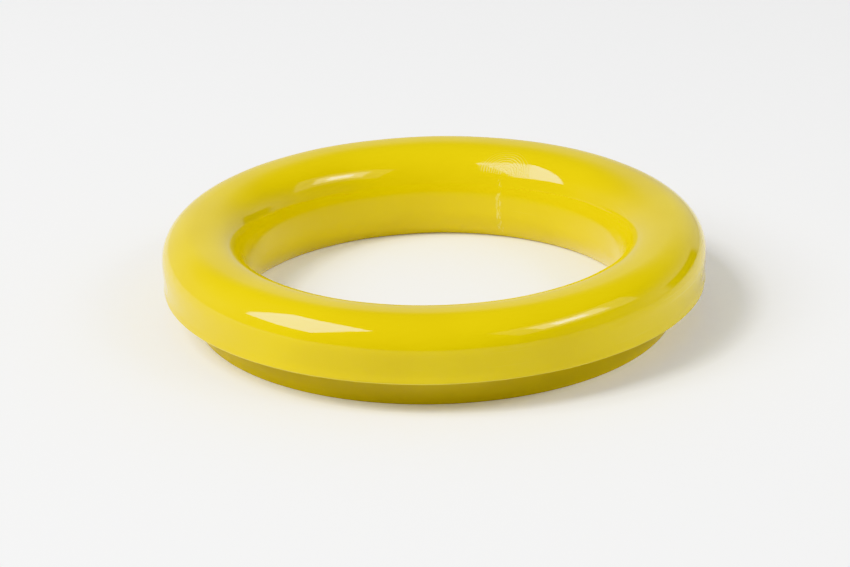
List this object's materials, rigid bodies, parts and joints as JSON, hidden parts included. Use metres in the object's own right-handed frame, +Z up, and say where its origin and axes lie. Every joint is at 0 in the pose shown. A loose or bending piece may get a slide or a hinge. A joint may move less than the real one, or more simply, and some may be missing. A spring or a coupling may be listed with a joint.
{
  "type": "life ring buoy",
  "caption": "Rigid ring buoy: a rolled crown with an overlapping skirt on an inset lower band, foam filled, with a screwed vent plug.",
  "frame": {"origin": "centre of the ring, on the ground that it lies on", "axes": "+Z up along the ring's axis, +Y towards the vent at the back"},
  "size_m": [0.72, 0.72, 0.125],
  "materials": {
    "shell_yellow": "gloss",
    "band_yellow": "satin",
    "lap_adhesive": "matte",
    "core_foam": "matte",
    "vent_nylon": "satin",
    "vent_rubber": "matte"
  },
  "bodies": {
    "ring": {"upper_shell": "shell_yellow", "lower_shell": "band_yellow", "skirt_seal": "lap_adhesive", "inner_seal": "lap_adhesive", "foam_front": "core_foam", "foam_right": "core_foam", "foam_back": "core_foam", "foam_left": "core_foam", "vent_bush": "vent_nylon", "vent_gasket": "vent_rubber", "vent_locknut": "vent_nylon"},
    "plug_washer": {"vent_plug_seal": "vent_rubber"},
    "plug": {"vent_plug": "vent_nylon"}
  },
  "joints": [
    {"name": "vent_travel", "type": "slide", "parent": "ring", "child": "plug_washer", "axis": [0, 1, 0], "range_m": [0, 0.015]},
    {"name": "vent_turn", "type": "hinge", "parent": "plug_washer", "child": "plug", "pos_m": [0, 0.32, 0.024], "axis": [0, 1, 0], "range_deg": [0, 2701]}
  ],
  "couplings": [
    {"joint": "vent_turn", "follows": "vent_travel", "rad_per_m": 3141.6}
  ]
}
